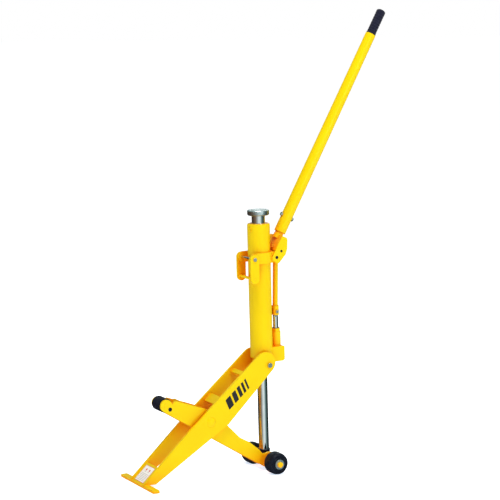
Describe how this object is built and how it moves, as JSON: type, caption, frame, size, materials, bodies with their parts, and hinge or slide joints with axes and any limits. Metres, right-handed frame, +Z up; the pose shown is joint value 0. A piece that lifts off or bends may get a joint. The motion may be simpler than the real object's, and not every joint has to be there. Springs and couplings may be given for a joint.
{
  "type": "scissor-arm hydraulic fork-lift jack",
  "caption": "Scissor-arm hydraulic jack on two wheels, with an upright ram unit, pump linkage, carrying bail and long pump handle.",
  "frame": {"origin": "on the foot's sole, at the floor, in the middle plane", "axes": "+X from the foot to the wheels, +Y to the side of the release valve, +Z up"},
  "size_m": [1.0514, 0.29, 1.7297],
  "materials": {
    "yellow_paint": "gloss enamel over cast and plate steel",
    "black_rubber": "smooth moulded",
    "black_steel": "satin black",
    "chrome": "hard chrome, ground",
    "zinc": "bright zinc plate",
    "bronze": "sintered bearing bronze",
    "machined_steel": "machined",
    "seal_rubber": "nitrile",
    "grip_rubber": "moulded grip"
  },
  "bodies": {
    "base_arm": {"base_arm_plate_far": "yellow_paint", "base_arm_plate_near": "yellow_paint", "foot_plate": "yellow_paint", "gusset_plate": "yellow_paint", "trunnion_bosses": "yellow_paint", "base_arm_braces": "yellow_paint", "crossing_pin": "yellow_paint", "crossing_spacers": "yellow_paint"},
    "lift_arm": {"lift_arm_plate_far": "yellow_paint", "lift_arm_plate_near": "yellow_paint", "crossing_bushes": "bronze", "lift_arm_webs": "yellow_paint", "toe_plugs": "black_steel", "toe_axle": "yellow_paint", "wheel_axle": "yellow_paint", "axle_spacers": "yellow_paint", "wheel_washers": "zinc"},
    "toe_roller": {"toe_roller": "black_steel"},
    "wheel_near": {"wheel_tyre_near": "black_rubber", "wheel_bush_near": "bronze"},
    "wheel_far": {"wheel_tyre_far": "black_rubber", "wheel_bush_far": "bronze"},
    "ram": {"ram_rod": "chrome", "ram_eye": "black_steel", "ram_foot_ring": "black_steel", "ram_piston": "machined_steel", "piston_seal": "seal_rubber"},
    "jack_unit": {"base_casting": "yellow_paint", "trunnion_pins": "zinc", "trunnion_washers": "machined_steel", "ram_gland": "machined_steel", "unit_seals": "seal_rubber", "pressure_cylinder": "machined_steel", "reservoir_tube": "yellow_paint", "cylinder_cap": "zinc", "filler_plug": "yellow_paint", "collar": "yellow_paint", "fulcrum_pins": "black_steel", "carry_bolt": "zinc", "carry_nut": "zinc", "pump_cylinder": "yellow_paint", "pump_gland": "yellow_paint", "check_valves": "machined_steel", "block_plugs": "yellow_paint"},
    "saddle": {"saddle": "zinc"},
    "carry_handle": {"carry_link_far": "yellow_paint", "carry_link_near": "yellow_paint", "carry_bar": "yellow_paint"},
    "pump_lever": {"lever_yoke": "yellow_paint", "upper_link_pin": "black_steel", "link_pin_sleeves": "yellow_paint", "handle_tube": "yellow_paint", "handle_grip": "grip_rubber", "handle_bolt": "zinc", "handle_nut": "zinc"},
    "pump_link": {"link_tube": "yellow_paint", "link_clevis": "yellow_paint", "lower_link_pin": "zinc"},
    "plunger": {"pump_plunger": "chrome"},
    "release_valve": {"release_valve": "machined_steel"}
  },
  "joints": [
    {"name": "lift_fold", "type": "hinge", "parent": "base_arm", "child": "lift_arm", "pos_m": [0.258, 0, 0.218], "axis": [0, -1, 0], "range_deg": [-22, 60]},
    {"name": "jack_tilt", "type": "hinge", "parent": "base_arm", "child": "jack_unit", "pos_m": [0.50189, 0, 0.40936], "axis": [0, -1, 0], "range_deg": [-11.5, 30.5]},
    {"name": "ram_pivot", "type": "hinge", "parent": "lift_arm", "child": "ram", "pos_m": [0.5125, 0, 0.041], "axis": [0, -1, 0], "range_deg": [-30.5, 11.5]},
    {"name": "toe_roll", "type": "hinge", "parent": "lift_arm", "child": "toe_roller", "pos_m": [0.08419, 0, 0.2921], "axis": [0, 1, 0], "continuous": true},
    {"name": "wheel_near_spin", "type": "hinge", "parent": "lift_arm", "child": "wheel_near", "pos_m": [0.5125, -0.0955, 0.041], "axis": [0, 1, 0], "continuous": true},
    {"name": "wheel_far_spin", "type": "hinge", "parent": "lift_arm", "child": "wheel_far", "pos_m": [0.5125, 0.0955, 0.041], "axis": [0, 1, 0], "continuous": true},
    {"name": "saddle_turn", "type": "hinge", "parent": "jack_unit", "child": "saddle", "pos_m": [0.48548, 0, 0.97912], "axis": [-0.0288, 0, 0.9996], "continuous": true},
    {"name": "carry_swing", "type": "hinge", "parent": "jack_unit", "child": "carry_handle", "pos_m": [0.44132, 0, 0.81028], "axis": [0, 1, 0], "range_deg": [0, 140]},
    {"name": "pump_stroke", "type": "hinge", "parent": "jack_unit", "child": "pump_lever", "pos_m": [0.54032, 0, 0.81163], "axis": [0, 1, 0], "range_deg": [-8, 58]},
    {"name": "link_swing", "type": "hinge", "parent": "pump_lever", "child": "pump_link", "pos_m": [0.55968, 0, 0.8342], "axis": [0, 1, 0], "range_deg": [-56, 8]},
    {"name": "plunger_slide", "type": "slide", "parent": "jack_unit", "child": "plunger", "axis": [0.0288, 0, -0.9996], "range_m": [-0.005, 0.028]},
    {"name": "release_turn", "type": "hinge", "parent": "jack_unit", "child": "release_valve", "pos_m": [0.56729, 0.04, 0.43125], "axis": [0, 1, 0], "range_deg": [-90, 0]}
  ],
  "couplings": [
    {"joint": "jack_tilt", "follows": "lift_fold", "ratio": 0.5},
    {"joint": "ram_pivot", "follows": "lift_fold", "ratio": -0.5},
    {"joint": "link_swing", "follows": "pump_stroke", "ratio": -0.95},
    {"joint": "plunger_slide", "follows": "pump_stroke", "m_per_rad": 0.0265}
  ]
}
